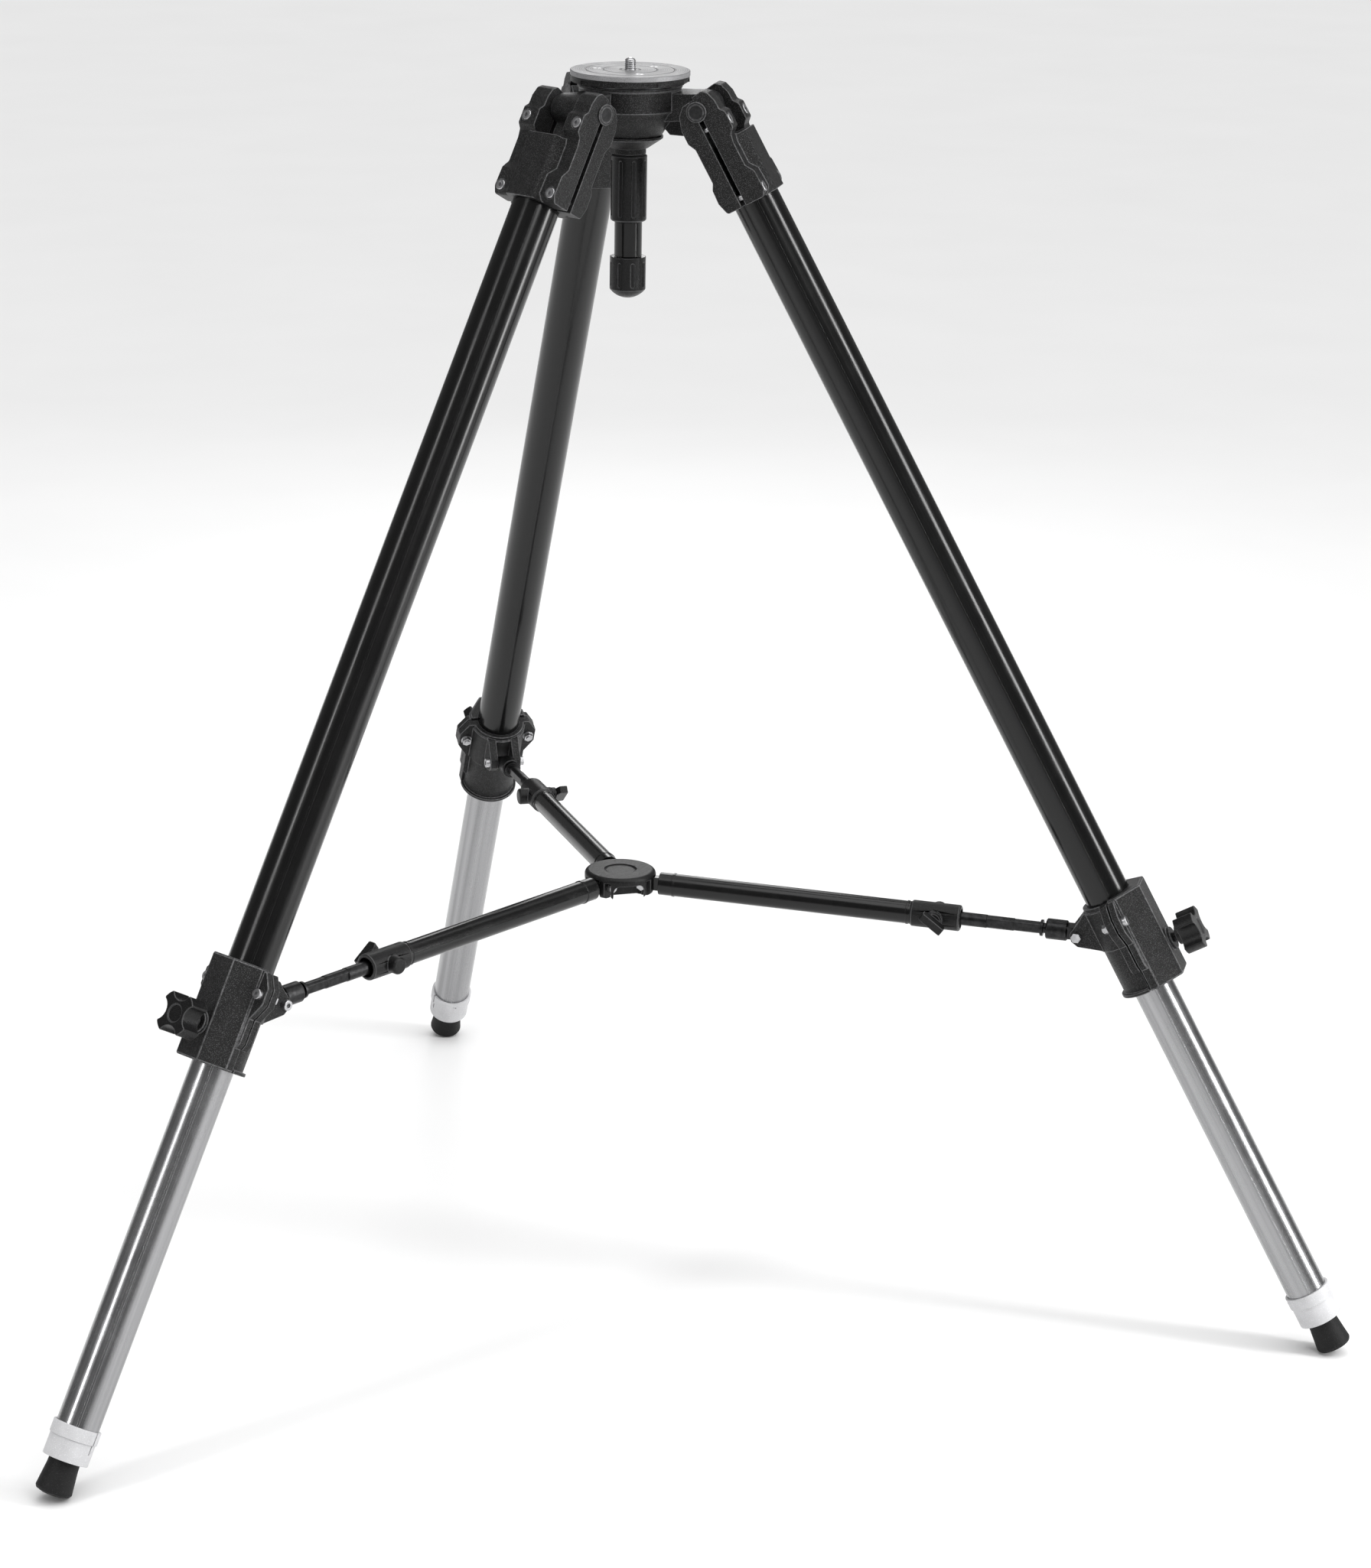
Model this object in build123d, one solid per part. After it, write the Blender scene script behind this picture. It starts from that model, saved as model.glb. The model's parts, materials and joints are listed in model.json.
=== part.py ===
from build123d import *

import math
import os

# Two-stage video tripod with a levelling half-ball head and a mid-level spreader.
# Millimetres, +Z up. Origin: tripod axis at the top face of the head plate, where the stud comes out.
# Legs stand at 90, 210 and 330 degrees round the tripod axis.
LEG_AZIMUTHS = (90.0, 210.0, 330.0)

# Fits and gaps
GAP = 0.3  # between pieces that move past each other
RUN = 0.05  # radial running clearance of pins and shafts

# Levelling head
PLATE_R = 50.5
PLATE_H = 9.5
PLATE_SKIN = 3.5
PLATE_RECESS_R = 46.0
PLATE_RIM_Z = -4.2
PLATE_RIM_STEP = 0.6
PLATE_SCREW_ANGLES = (30.0, 150.0, 270.0)
RING_RADII = (37.9, 23.2, 9.0)
RING_W = 0.8
RING_DEPTH = 0.5
NOTCH_COUNT = 6
NOTCH_FIRST = 30.0
NOTCH_W = 20.0
NOTCH_H = 3.4
PLATE_SCREW_PITCH_R = 28.5
PLATE_SCREW_R = 2.0
PLATE_SCREW_HEAD_R = 3.6
PLATE_SCREW_L = 9.0
STUD_R = 4.76
STUD_H = 10.0
STUD_ROOT_R = 4.6
STUD_HOLE_R = STUD_ROOT_R + RUN
ROD_R = 4.0
BALL_Z = -11.5
BALL_R = 37.5
BALL_FLANGE_R = 34.0
LINER_R0 = BALL_R + GAP
LINER_R1 = 39.7
SEAT_R = LINER_R1 + GAP
LINER_HOLE_R = 14.0
BOWL_R = 43.0
BOWL_LIP_R = 44.2
BOWL_LIP_H = 2.3
BOWL_STEP_Z = -31.8
BOWL_CAP_R = 51.3
BOWL_HOLE_R = 12.2
CUP_R = 28.5
CUP_FLOOR_Z = -65.2
CUP_TAPER_R = 16.0
NECK_R = 14.2
NECK_Z = -70.3
STEM_R = 7.0
STEM_TOP_Z = -38.0
GRIP_R = 15.25
GRIP_Z0 = -127.2
GRIP_Z1 = -70.8
SLEEVE_R = 11.65
SLEEVE_Z0 = -157.0
SLEEVE_Z1 = -127.6
KNOB_Z0 = -193.0
KNOB_Z1 = -157.4
FLUTES = 8
FLUTE_W = 3.4
FLUTE_DEPTH = 1.1

# Leg hinges: the leg frame has its origin on the hinge axis, x outward and z up along the leg
HINGE_R = 65.4
HINGE_Z = -28.0
TILT = 28.84
LUG_R = 12.5
LUG_HALF = 16.2
PIN_R = 6.0
PIN_CAP_R = 8.75
PIN_CAP_H = 1.6
PIN_RING_R = 6.7
PIN_RING_W = 0.7
PIN_RING_DEPTH = 0.5
TUBE_X = 3.0  # tube axis, measured outward from the hinge axis
EAR_IN = 16.6
EAR_OUT = 35.0
BRACKET_Z0 = -87.0
FORK_Z = -31.0
SPLIT_HALF = 2.0
CASTING_CORNER_R = 3.0
BRACKET_SCREW_V = 29.0
BRACKET_SCREW_ZS = (-17.0, -79.5)
M5_R = 2.5
M5_HEAD_R = 4.4
M5_HEAD_H = 4.2
M5_SOCKET_R = 2.2
M5_SOCKET_H = 2.6
M5_NUT_R = 4.6
M5_NUT_H = 3.4
M5_WASHER_R = 5.2
M5_WASHER_H = 0.8
SEAT_GAP = 0.4

# Leg tubes
UPPER_R = 20.0
UPPER_BORE_R = 18.7
UPPER_Z0 = -800.0
UPPER_Z1 = -33.0
LOWER_R = 17.9
LOWER_BORE_R = 16.3
LOWER_Z0 = -1174.0
LOWER_Z1 = -420.0
RIDGE_ANGLES = (45.0, 165.0, 285.0)
RIDGE_W = 1.6
RIDGE_H = 0.4

# Collar at the lower end of the upper tube
COLLAR_Z0 = -843.0
COLLAR_Z1 = -755.0
COLLAR_SPLIT = 0.6
COLLAR_SPLIT_W = 3.0
SLEEVE_WALL_R = 24.5
RIM_R = 27.4
RIM_H = 3.0
EAR_Z = -776.0
EAR_SCREW_V = 31.0
EAR_W0 = -4.4
EAR_W1 = 9.6
KNOB_Z = -813.0
KNOB_BOSS_R = 10.0
KNOB_BOSS_W = 36.0
KNOB_SHANK_R = 4.0
STAR_R = 19.5
STAR_SCALLOP_R = 10.2
STAR_W0 = 43.5
STAR_W1 = 61.5
CLEVIS_W = -38.0
CLEVIS_IN = 7.4
CLEVIS_OUT = 15.0

# Ferrule and foot
FERRULE_Z0 = -1180.1
FERRULE_Z1 = -1150.9
FERRULE_BAND_H = 11.0
FERRULE_BAND_R = 20.2
FERRULE_R = 19.2
FOOT_NECK_R = 9.0
FOOT_TOP_R = 13.0
FOOT_BOTTOM_R = 15.5
FOOT_Z = -1210.6

# Spreader: the arm frame has its origin on the hub pin and x outward along the arm
HUB_R = 31.5
HUB_Z0 = -723.5
HUB_Z1 = -704.0
HUB_RECESS_R = 14.3
HUB_RECESS_H = 1.6
HUB_PIN_R = 22.0
HUB_PIN_Z = -714.0
HUB_SLOT = 4.4
HUB_ARCH_HALF = 14.0
HUB_ARCH_H = 12.5
HUB_ARCH_CORNER_R = 6.0
HUB_CORE_R = 14.0
HUB_FORK = 9.4
ARM_DROP = 1.574
ARM_PITCH = 387.2
ARM_R = 10.0
ARM_BORE_R = 8.6
ARM_X0 = 14.2
ARM_X1 = 240.0
TONGUE = 4.0
LOCK_X1 = 284.0
LOCK_R = 11.5
LOCK_KNOB_X = 262.0
LOCK_BOSS_R = 7.5
LOCK_BOSS_Y = 19.0
WING_TURN = 35.0
ROD_THICK_R = 5.9
ROD_X0 = 200.0


def outline_of(points, radius=0.0, sharp_within=-1.0):
    """Closed outline with rounded corners, kept sharp where the first coordinate is near 0."""
    outline = Polygon(*points, align=None)
    if radius:
        corners = outline.vertices().filter_by(lambda v: abs(v.X) > sharp_within)
        outline = fillet(corners, radius)
    return outline


def prism_x(points, x0, x1, radius=0.0):
    """Straight prism along x from (y, z) corners."""
    return extrude(Plane.YZ.offset(x0) * outline_of(points, radius), x1 - x0, dir=(1, 0, 0))


def prism_y(points, y0, y1, radius=0.0, sharp_within=-1.0):
    """Straight prism along y from (x, z) corners."""
    outline = outline_of(points, radius, sharp_within)
    return extrude(Plane.XZ.offset(-y0) * outline, y1 - y0, dir=(0, 1, 0))


def prism_z(points, z0, z1, radius=0.0, sharp_within=-1.0):
    """Straight prism along z from (x, y) corners."""
    outline = outline_of(points, radius, sharp_within)
    return extrude(Plane.XY.offset(z0) * outline, z1 - z0, dir=(0, 0, 1))


def rod_z(radius, z0, z1, x=0.0, y=0.0):
    """Cylinder along z."""
    return Pos(x, y, (z0 + z1) / 2) * Cylinder(radius, z1 - z0)


def rod_x(radius, x0, x1, y=0.0, z=0.0):
    """Cylinder along x."""
    return Pos((x0 + x1) / 2, y, z) * Rot(0, 90, 0) * Cylinder(radius, x1 - x0)


def rod_y(radius, y0, y1, x=0.0, z=0.0):
    """Cylinder along y."""
    return Pos(x, (y0 + y1) / 2, z) * Rot(90, 0, 0) * Cylinder(radius, y1 - y0)


def block(x0, x1, y0, y1, z0, z1):
    """Box between two corners."""
    return Pos((x0 + x1) / 2, (y0 + y1) / 2, (z0 + z1) / 2) * Box(x1 - x0, y1 - y0, z1 - z0)


def turned(points):
    """Solid turned round z from (r, z) corners."""
    return revolve(Plane.XZ * Polygon(*points, align=None), Axis.Z)


def ball(radius):
    """Sphere about the levelling centre."""
    return Pos(0, 0, BALL_Z) * Sphere(radius)


def mirrored(shape):
    """Shape together with its mirror image across y = 0."""
    return shape + mirror(shape, Plane.XZ)


def hex_prism_x(radius, x0, x1, y=0.0, z=0.0):
    """Hexagonal prism along x."""
    return Pos(x0, y, z) * Rot(0, 90, 0) * extrude(RegularPolygon(radius, 6), x1 - x0)


def group(solids):
    """Several separate solids kept as one named piece."""
    return Compound(children=list(solids))


# ---------------------------------------------------------------- levelling head


def shoulder_lug():
    """One arm from the bowl out to the hinge barrel, with a thin gusset below it."""
    barrel = rod_y(LUG_R, -LUG_HALF, LUG_HALF, HINGE_R, HINGE_Z)
    arm_profile = ((34, -16), (52, -16), (64, -15.6), (66, -34), (56, -38.5), (34, -40))
    arm = prism_y(arm_profile, -LUG_HALF, LUG_HALF)
    gusset = prism_y(((29, -38), (30, -46), (36, -52.5), (48, -53), (58, -38)), -5, 5)
    return barrel + arm + gusset


def shoulder_casting():
    """Bowl with a spherical seat and three hinge lugs."""
    cap_z = BALL_Z - math.sqrt(BOWL_CAP_R**2 - 26.5**2)
    bowl = turned(
        (
            (0, BALL_Z),
            (BOWL_LIP_R, BALL_Z),
            (BOWL_LIP_R, BALL_Z - BOWL_LIP_H),
            (BOWL_R, BALL_Z - BOWL_LIP_H - 0.6),
            (BOWL_R, BOWL_STEP_Z),
            (40.6, BOWL_STEP_Z - 1.6),
            (38.4, -38.0),
            (35.0, -43.0),
            (31.4, -47.6),
            (28.6, -52.0),
            (26.5, cap_z),
            (26.5, -64.0),
            (0, -64.0),
        )
    )
    bowl = bowl & (ball(BOWL_CAP_R) + rod_z(BOWL_LIP_R + 1, BOWL_STEP_Z, 0))
    casting = bowl
    for azimuth in LEG_AZIMUTHS:
        casting += Rot(0, 0, azimuth) * shoulder_lug()
    casting -= ball(SEAT_R)
    casting -= rod_z(SEAT_R, BALL_Z - 1, BALL_Z + 10)
    casting -= rod_z(BOWL_HOLE_R, -70, -40)
    for azimuth in LEG_AZIMUTHS:
        casting -= Rot(0, 0, azimuth) * rod_y(PIN_R + RUN, -20, 20, HINGE_R, HINGE_Z)
    return casting


def bowl_liner():
    """Thin friction liner between the bowl and the half ball."""
    shell = ball(LINER_R1) - ball(LINER_R0)
    shell -= block(-60, 60, -60, 60, BALL_Z - 0.4, 60)
    return shell - rod_z(LINER_HOLE_R, -60, -30)


def half_ball():
    """Half ball with its mounting flange and the bore for the stem and the stud."""
    body = ball(BALL_R) - block(-60, 60, -60, 60, BALL_Z, 60)
    body += rod_z(BALL_FLANGE_R, BALL_Z, -PLATE_SKIN)
    body -= rod_z(STEM_R, -60, STEM_TOP_Z)
    body -= rod_z(ROD_R + GAP, -60, 0)
    body -= rod_z(STUD_R + GAP, -PLATE_H - GAP, 0)
    for angle in PLATE_SCREW_ANGLES:
        hole = rod_z(PLATE_SCREW_R, -PLATE_SCREW_L - 1, 0, PLATE_SCREW_PITCH_R)
        body -= Rot(0, 0, angle) * hole
    return body


def plate_screw_shape(clear=0.0):
    """Countersunk screw head down from the plate face, enlarged for its seat."""
    head_r = PLATE_SCREW_HEAD_R + clear
    return turned(
        (
            (0, -0.2 if not clear else 1),
            (head_r, -0.2 if not clear else 1),
            (head_r, -0.6),
            (PLATE_SCREW_R, -0.6 - PLATE_SCREW_HEAD_R + PLATE_SCREW_R),
            (PLATE_SCREW_R, -PLATE_SCREW_L),
            (0, -PLATE_SCREW_L),
        )
    )


def top_plate():
    """Disc plate with turned rings, a recessed underside and edge notches."""
    plate = rod_z(PLATE_R, -PLATE_H, 0)
    plate = chamfer(plate.edges().group_by(Axis.Z)[-1], 0.6)
    plate -= rod_z(PLATE_RECESS_R, -PLATE_H - 1, -PLATE_SKIN)
    rim_r = PLATE_R - PLATE_RIM_STEP
    plate -= rod_z(PLATE_R + 1, -PLATE_H - 1, PLATE_RIM_Z) - rod_z(rim_r, -PLATE_H - 2, PLATE_RIM_Z + 1)
    for radius in RING_RADII:
        groove = rod_z(radius, -RING_DEPTH, 1) - rod_z(radius - RING_W, -RING_DEPTH, 1)
        plate -= groove
    for index in range(NOTCH_COUNT):
        notch = block(PLATE_R - 2.4, PLATE_R + 5, -NOTCH_W / 2, NOTCH_W / 2, -PLATE_H - 1, NOTCH_H - PLATE_H)
        plate -= Rot(0, 0, NOTCH_FIRST + index * 360 / NOTCH_COUNT) * notch
    for angle in PLATE_SCREW_ANGLES:
        plate -= Rot(0, 0, angle) * Pos(PLATE_SCREW_PITCH_R, 0, 0) * plate_screw_shape(0.02)
    return plate - rod_z(STUD_HOLE_R, -20, 5)


def plate_screws():
    """Three countersunk screws that hold the plate on the half ball."""
    screws = []
    for angle in PLATE_SCREW_ANGLES:
        screw = plate_screw_shape()
        screw -= Pos(0, 0, -2.2) * extrude(RegularPolygon(1.5, 6), 3)
        screws.append(Rot(0, 0, angle) * Pos(PLATE_SCREW_PITCH_R, 0, 0) * screw)
    return group(screws)


def clamp_cup():
    """Dished clamp washer under the bowl and the black ring below it."""
    rim_z = BALL_Z - math.sqrt((BOWL_CAP_R + GAP) ** 2 - CUP_R**2)
    cup = turned(
        (
            (STEM_R, -50),
            (CUP_R, -50),
            (CUP_R, rim_z - 2.2),
            (CUP_TAPER_R, CUP_FLOOR_Z),
            (STEM_R, CUP_FLOOR_Z),
        )
    )
    cup -= ball(BOWL_CAP_R + GAP)
    ring = rod_z(NECK_R, NECK_Z, CUP_FLOOR_Z) - rod_z(STEM_R, NECK_Z - 1, CUP_FLOOR_Z + 1)
    return group((cup, ring))


def fluted(outer_r, z0, z1, flute_z0, flute_z1):
    """Round grip with long rounded flutes."""
    grip = rod_z(outer_r, z0, z1)
    for index in range(FLUTES):
        slot = SlotOverall(flute_z1 - flute_z0, FLUTE_W)
        cut = extrude(Plane.YZ.offset(outer_r - FLUTE_DEPTH) * Rot(0, 0, 90) * slot, 5, dir=(1, 0, 0))
        cut = Pos(0, 0, (flute_z0 + flute_z1) / 2) * cut
        grip -= Rot(0, 0, index * 360 / FLUTES) * cut
    return grip


def lock_grip():
    """Upper grip, threaded on the stem, that pulls the half ball tight."""
    grip = fluted(GRIP_R, GRIP_Z0, GRIP_Z1, GRIP_Z0 + 4.5, GRIP_Z1 - 4.5)
    grip -= rod_z(STEM_R + RUN, GRIP_Z0 - 1, GRIP_Z1 + 1)
    rims = grip.edges().filter_by(GeomType.CIRCLE).filter_by(lambda e: abs(e.radius - GRIP_R) < 0.01)
    rims = rims.filter_by(lambda e: min(abs(e.center().Z - GRIP_Z0), abs(e.center().Z - GRIP_Z1)) < 0.01)
    return chamfer(rims, 1.2)


def handle_tube():
    """Hollow stem screwed into the half ball with the plain sleeve at its lower end."""
    stem = rod_z(STEM_R, SLEEVE_Z0, STEM_TOP_Z)
    sleeve = rod_z(SLEEVE_R, SLEEVE_Z0, SLEEVE_Z1)
    return stem + sleeve - rod_z(ROD_R + GAP, SLEEVE_Z0 - 1, STEM_TOP_Z + 1)


def stud_rod():
    """Long rod through the stem that ends in the camera-head stud."""
    stud = rod_z(STUD_R, 0, STUD_H)
    stud = chamfer(stud.edges().group_by(Axis.Z)[-1], 1.1)
    return stud + rod_z(STUD_ROOT_R, -PLATE_H, 0) + rod_z(ROD_R, KNOB_Z0 + 12, -PLATE_H)


def stud_knob():
    """Lower knob with a domed end that turns the stud."""
    knob = fluted(GRIP_R, KNOB_Z0, KNOB_Z1, KNOB_Z0 + 10.5, KNOB_Z1 - 4.5)
    dome_r = 19.0
    knob = knob & (Pos(0, 0, KNOB_Z0 + dome_r) * Sphere(dome_r) + rod_z(GRIP_R + 1, KNOB_Z0 + 8, KNOB_Z1 + 1))
    knob -= rod_z(ROD_R, KNOB_Z0 + 12, KNOB_Z1 + 1)
    return knob


# ---------------------------------------------------------------- legs


def in_leg(shape, azimuth):
    """Put a piece modelled in the leg frame onto one leg."""
    return Rot(0, 0, azimuth) * Pos(HINGE_R, 0, HINGE_Z) * Rot(0, -TILT, 0) * shape


def on_tube(shape):
    """Move a piece modelled round the tube axis into the leg frame."""
    return Pos(TUBE_X, 0, 0) * shape


def hinge_pin():
    """Hinge pin with a round cap at each end."""
    pin = rod_y(PIN_R, -EAR_OUT, EAR_OUT)
    cap = rod_y(PIN_CAP_R, EAR_OUT, EAR_OUT + PIN_CAP_H)
    cap = chamfer(cap.edges().group_by(Axis.Y)[-1], 0.5)
    face_y = EAR_OUT + PIN_CAP_H
    groove = rod_y(PIN_RING_R, face_y - PIN_RING_DEPTH, face_y + 1)
    cap -= groove - rod_y(PIN_RING_R - PIN_RING_W, face_y - 1, face_y + 1)
    return pin + mirrored(cap)


def bracket_screw_seat(v, z):
    """Screw hole and counterbore of one bracket screw."""
    hole = rod_x(M5_R, -12, 40, v, z)
    return hole + rod_x(M5_HEAD_R + SEAT_GAP, 18.4, 40, v, z)


def bracket_outer():
    """Outer half of the leg-top clamp: two ears, a boxed middle and four screw bosses."""
    side = (
        (SPLIT_HALF, 12.5),
        (11.5, 13.8),
        (16.0, 10.0),
        (18.6, 2.0),
        (18.8, -6.0),
        (22.4, -10.0),
        (22.4, -24.5),
        (18.2, -28.5),
        (16.8, -36.0),
        (17.0, -57.0),
        (21.8, -64.0),
        (22.4, -81.0),
        (19.0, BRACKET_Z0),
        (SPLIT_HALF, BRACKET_Z0),
    )
    half = mirrored(prism_y(side, EAR_IN, EAR_OUT, CASTING_CORNER_R, SPLIT_HALF + 0.1))
    middle_outline = ((SPLIT_HALF, -23), (14, -23), (26.2, -15.5), (26.2, 15.5), (14, 23), (SPLIT_HALF, 23))
    half += prism_z(middle_outline, BRACKET_Z0, FORK_Z, CASTING_CORNER_R, SPLIT_HALF + 0.1)
    half -= on_tube(rod_z(UPPER_R, BRACKET_Z0 - 1, FORK_Z - 2))
    half -= on_tube(rod_z(UPPER_BORE_R - 3, FORK_Z - 3, 20)) & block(-30, 60, -EAR_IN, EAR_IN, -40, 20)
    half -= rod_y(PIN_R, -50, 50)
    for v in (-BRACKET_SCREW_V, BRACKET_SCREW_V):
        for z in BRACKET_SCREW_ZS:
            half -= bracket_screw_seat(v, z)
    return half


def bracket_inner():
    """Inner half of the leg-top clamp."""
    side = (
        (-SPLIT_HALF, 10.0),
        (-9.0, 9.0),
        (-15.0, 3.0),
        (-18.9, -8.0),
        (-18.9, -21.0),
        (-15.4, -27.5),
        (-15.2, -58.5),
        (-18.2, -64.0),
        (-18.8, -76.0),
        (-15.5, BRACKET_Z0),
        (-SPLIT_HALF, BRACKET_Z0),
    )
    half = mirrored(prism_y(side, EAR_IN, EAR_OUT, CASTING_CORNER_R, SPLIT_HALF + 0.1))
    middle_outline = (
        (-SPLIT_HALF, -24),
        (-12, -24),
        (-21.5, -12.5),
        (-21.5, 12.5),
        (-12, 24),
        (-SPLIT_HALF, 24),
    )
    half += prism_z(middle_outline, BRACKET_Z0, FORK_Z, CASTING_CORNER_R, SPLIT_HALF + 0.1)
    half -= on_tube(rod_z(UPPER_R, BRACKET_Z0 - 1, FORK_Z - 2))
    half -= on_tube(rod_z(UPPER_BORE_R - 3, FORK_Z - 3, 20)) & block(-60, 30, -EAR_IN, EAR_IN, -40, 20)
    half -= rod_y(PIN_R, -50, 50)
    for v in (-BRACKET_SCREW_V, BRACKET_SCREW_V):
        for z in BRACKET_SCREW_ZS:
            half -= rod_x(M5_R, -12, 10, v, z)
    return half


def socket_screw_x(length):
    """Cap screw along x: head underside at x = 0, shank towards -x."""
    head = rod_x(M5_HEAD_R, 0, M5_HEAD_H)
    head = chamfer(head.edges().group_by(Axis.X)[-1], 0.4)
    head -= hex_prism_x(M5_SOCKET_R, M5_HEAD_H - M5_SOCKET_H, M5_HEAD_H + 1)
    return head + rod_x(M5_R, -length, 0)


def washer_and_nut_x():
    """Washer and nut on the far end of a cap screw, seated at x = 0."""
    return rod_x(M5_WASHER_R, -M5_WASHER_H, 0) + hex_prism_x(
        M5_NUT_R, -M5_WASHER_H - M5_NUT_H, -M5_WASHER_H
    )


def bracket_screws():
    """Four socket screws through both halves of the leg-top clamp."""
    screws = []
    for v in (-BRACKET_SCREW_V, BRACKET_SCREW_V):
        for z in BRACKET_SCREW_ZS:
            screws.append(Pos(18.4, v, z) * socket_screw_x(30.4))
    return group(screws)


def ribbed_tube(outer_r, bore_r, z0, z1, rib_z0, rib_z1):
    """Drawn tube with three thin ribs along its outside."""
    tube = rod_z(outer_r, z0, z1)
    for angle in RIDGE_ANGLES:
        rib = block(outer_r - 1, outer_r + RIDGE_H, -RIDGE_W / 2, RIDGE_W / 2, rib_z0, rib_z1)
        tube += Rot(0, 0, angle) * rib
    return tube - rod_z(bore_r, z0 - 1, z1 + 1)


def upper_tube():
    """Upper leg tube."""
    return on_tube(
        ribbed_tube(UPPER_R, UPPER_BORE_R, UPPER_Z0, UPPER_Z1, COLLAR_Z1 + GAP, BRACKET_Z0 - GAP)
    )


def lower_tube():
    """Lower leg tube that slides in the upper one."""
    return on_tube(
        ribbed_tube(LOWER_R, LOWER_BORE_R, LOWER_Z0, LOWER_Z1, FERRULE_Z1 + GAP, LOWER_Z1)
    )


def tube_bores():
    """Space inside the collar: a seat for the upper tube and a guide for the lower one."""
    return rod_z(UPPER_R, UPPER_Z0, COLLAR_Z1 + 1) + rod_z(UPPER_BORE_R, COLLAR_Z0 - 1, UPPER_Z0 + 1)


def collar_ear(w0, w1):
    """Pair of pointed clamp ears and the narrow lip below them."""
    ear_outline = ((20, -757), (30, -757), (38, -769), (38, -783), (29.5, -797), (20, -797))
    lip_outline = ((20, -790), (29.5, -790), (29.5, -818), (27, -823), (20, -823))
    ear = prism_x(ear_outline, w0, w1, 2.0)
    lip = prism_x(lip_outline, w0, w1, 1.5)
    return mirrored(ear + lip)


def collar():
    """Faceted outer half of the collar with the boss of the lock knob."""
    w0 = COLLAR_SPLIT_W + COLLAR_SPLIT
    outline = (
        (w0, -27),
        (11.5, -27),
        (22, -20),
        (32.5, -12.6),
        (32.5, 12.6),
        (22, 20),
        (11.5, 27),
        (w0, 27),
    )
    body = prism_z(outline, COLLAR_Z0, COLLAR_Z1)
    top = body.edges().group_by(Axis.Z)[-1].filter_by(lambda e: e.center().X > w0 + 0.1)
    bottom = body.edges().group_by(Axis.Z)[0].filter_by(lambda e: e.center().X > w0 + 0.1)
    body = chamfer(top + bottom, 1.0)
    body += collar_ear(w0, EAR_W1)
    body += rod_x(KNOB_BOSS_R, 25, KNOB_BOSS_W, 0, KNOB_Z)
    body -= tube_bores()
    body -= rod_x(KNOB_SHANK_R + RUN, 10, 40, 0, KNOB_Z)
    for v in (-EAR_SCREW_V, EAR_SCREW_V):
        body -= rod_x(M5_R, -20, 20, v, EAR_Z)
        body -= rod_x(M5_HEAD_R + SEAT_GAP, EAR_W1, 40, v, EAR_Z)
    return on_tube(body)


def clevis():
    """Two cheeks that carry the spreader arm."""
    profile = (
        (-12, -760),
        (-24, -760),
        (-30, -764.5),
        (-42, -771),
        (-44, -778),
        (-41, -784.5),
        (-22, -797),
        (-12, -797),
    )
    return mirrored(prism_y(profile, CLEVIS_IN, CLEVIS_OUT, 2.0))


def spreader_bracket():
    """Inner half of the collar: sleeve with a foot rim, clamp ears and the spreader clevis."""
    w1 = COLLAR_SPLIT_W - COLLAR_SPLIT
    body = rod_z(SLEEVE_WALL_R, COLLAR_Z0, COLLAR_Z1 - 2)
    body += rod_z(RIM_R, COLLAR_Z0, COLLAR_Z0 + RIM_H)
    body += rod_z(SLEEVE_WALL_R + 1.6, EAR_Z - 22, COLLAR_Z1 - 6)
    body = body & block(-60, w1, -60, 60, -900, -700)
    body += collar_ear(EAR_W0, w1)
    body += clevis()
    body -= tube_bores()
    body -= rod_y(M5_R, -20, 20, CLEVIS_W, EAR_Z)
    for v in (-EAR_SCREW_V, EAR_SCREW_V):
        body -= rod_x(M5_R, -20, 20, v, EAR_Z)
    return on_tube(body)


def collar_screws():
    """Two clamp screws with nuts and the screw pin of the clevis."""
    solids = []
    for v in (-EAR_SCREW_V, EAR_SCREW_V):
        screw = Pos(EAR_W1, 0, 0) * socket_screw_x(EAR_W1 - EAR_W0 + M5_NUT_H + 2)
        solids.append(Pos(0, v, EAR_Z) * (screw + Pos(EAR_W0, 0, 0) * washer_and_nut_x()))
    pin = Rot(0, 0, 90) * Pos(CLEVIS_OUT, 0, 0) * socket_screw_x(2 * CLEVIS_OUT)
    nut = Rot(0, 0, 90) * hex_prism_x(M5_NUT_R, -CLEVIS_OUT - M5_NUT_H, -CLEVIS_OUT)
    solids.append(Pos(CLEVIS_W, 0, EAR_Z) * (pin + nut))
    return on_tube(group(solids))


def star_outline():
    """Four-lobed outline of the lock knob."""
    outline = Circle(STAR_R)
    for index in range(4):
        outline -= Rot(0, 0, 45 + 90 * index) * Pos(STAR_R + 1.5, 0) * Circle(STAR_SCALLOP_R)
    return fillet(outline.vertices(), 1.5)


def lock_knob():
    """Four-lobed clamp knob with its threaded shank."""
    face = Plane.YZ.offset(STAR_W0) * Rot(0, 0, 45) * star_outline()
    star = extrude(face, STAR_W1 - STAR_W0, dir=(1, 0, 0))
    star -= rod_x(7.5, STAR_W1 - 1.0, STAR_W1 + 1)
    hub = rod_x(8.5, 39.5, STAR_W0)
    shank = rod_x(KNOB_SHANK_R, LOWER_R + 0.5, 42)
    return on_tube(Pos(0, 0, KNOB_Z) * (star + hub + shank))


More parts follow.
